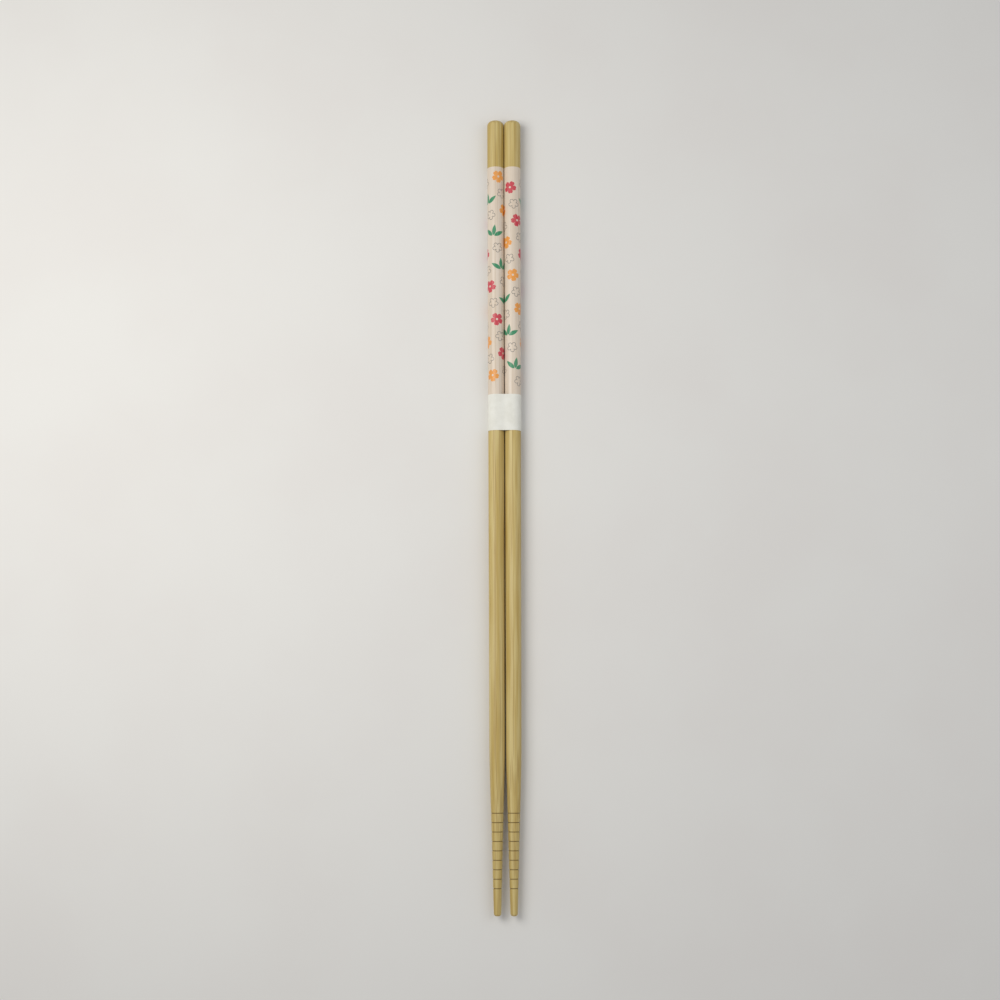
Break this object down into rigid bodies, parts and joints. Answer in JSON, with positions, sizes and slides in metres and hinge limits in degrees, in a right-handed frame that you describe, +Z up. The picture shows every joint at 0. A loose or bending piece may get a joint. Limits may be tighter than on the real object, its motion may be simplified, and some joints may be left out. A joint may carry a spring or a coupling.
{
  "type": "pair of bamboo cooking chopsticks",
  "caption": "Long round bamboo cooking chopsticks with ringed tapering tips and a printed upper half, laid side by side and held together by a white paper band.",
  "frame": {"origin": "centre of the pair's footprint, on the surface that it lies on", "axes": "+Y along the sticks towards their thick head ends, +X from the left stick to the right one, +Z up"},
  "size_m": [0.014, 0.33, 0.0071],
  "materials": {
    "bamboo": "satin",
    "paper": "matte",
    "print_ground": "satin",
    "print_ink": "satin"
  },
  "bodies": {
    "root": {"chopstick_left": "bamboo", "chopstick_right": "bamboo", "paper_band": "paper"}
  },
  "joints": []
}
